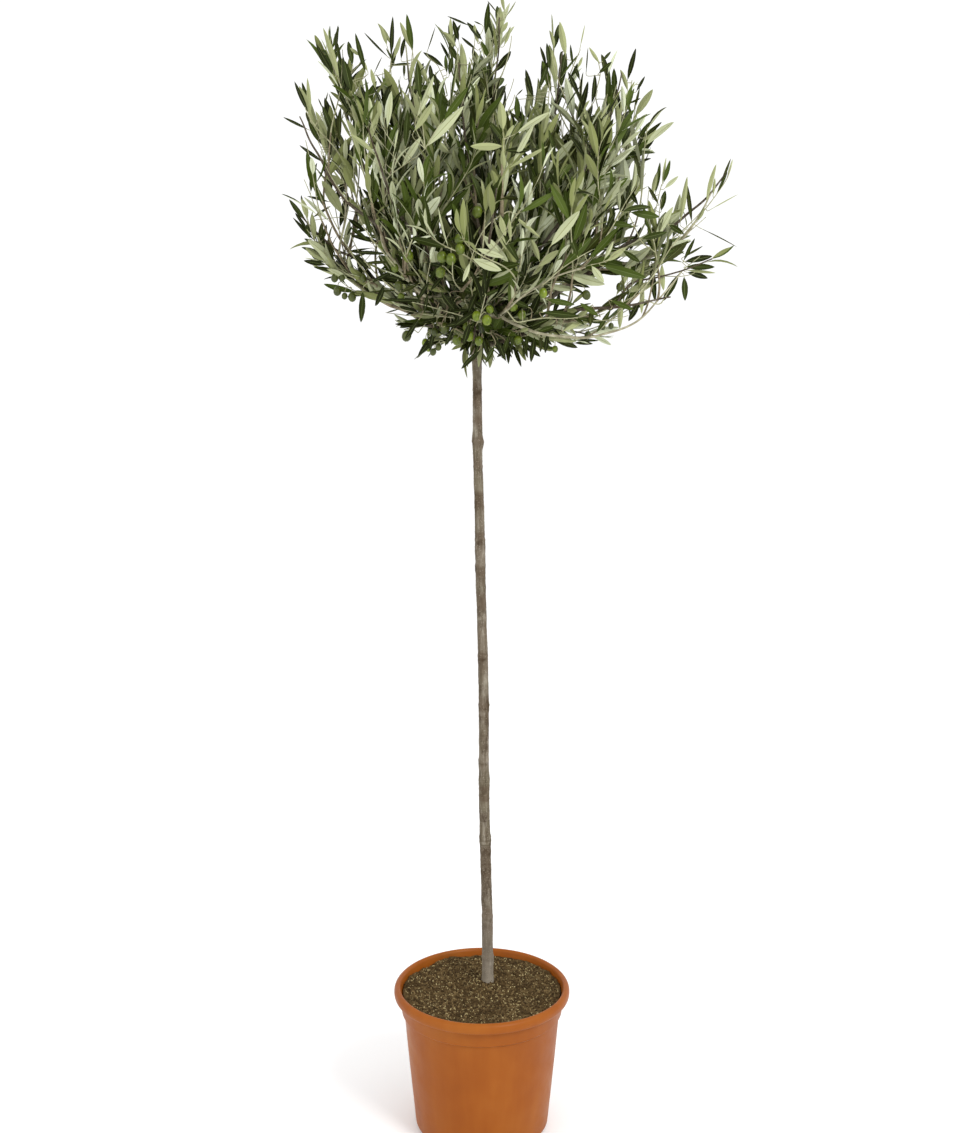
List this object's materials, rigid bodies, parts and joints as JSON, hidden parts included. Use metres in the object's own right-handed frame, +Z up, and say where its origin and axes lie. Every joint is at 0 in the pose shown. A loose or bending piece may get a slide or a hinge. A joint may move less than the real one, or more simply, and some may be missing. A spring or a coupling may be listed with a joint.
{
  "type": "potted olive tree",
  "caption": "Standard olive tree with a slim clear stem and an open, airy crown of narrow grey-green leaves, standing in a round terracotta-coloured plastic pot.",
  "frame": {"origin": "centre of the pot's flat underside", "axes": "+Z up along the stem, -Y towards the front, +X to the right as seen from the front"},
  "size_m": [0.6805, 0.5772, 1.785],
  "materials": {
    "pot_plastic": "satin",
    "compost": "matte",
    "bark": "matte",
    "foliage": "matte"
  },
  "bodies": {
    "root": {"pot": "pot_plastic", "soil": "compost", "trunk": "bark", "bough_leader": "bark", "bough_left": "bark", "bough_left_low": "bark", "bough_left_back": "bark", "bough_right": "bark", "bough_right_low": "bark", "bough_right_back": "bark", "bough_front": "bark", "bough_front_left": "bark", "bough_front_right": "bark", "bough_back": "bark", "bough_back_left": "bark", "bough_back_right": "bark", "foliage_heart": "foliage", "foliage_top": "foliage", "foliage_top_left": "foliage", "foliage_top_right": "foliage", "foliage_left_high": "foliage", "foliage_left": "foliage", "foliage_left_low": "foliage", "foliage_right_high": "foliage", "foliage_right": "foliage", "foliage_right_arm": "foliage", "foliage_right_tip": "foliage", "foliage_right_low": "foliage", "foliage_under_right": "foliage", "foliage_under_left": "foliage", "foliage_under_front": "foliage", "foliage_under_back": "foliage", "foliage_front": "foliage", "foliage_front_left": "foliage", "foliage_front_right": "foliage", "foliage_front_high": "foliage", "foliage_back": "foliage", "foliage_back_left": "foliage", "foliage_back_right": "foliage", "foliage_back_high": "foliage"}
  },
  "joints": []
}
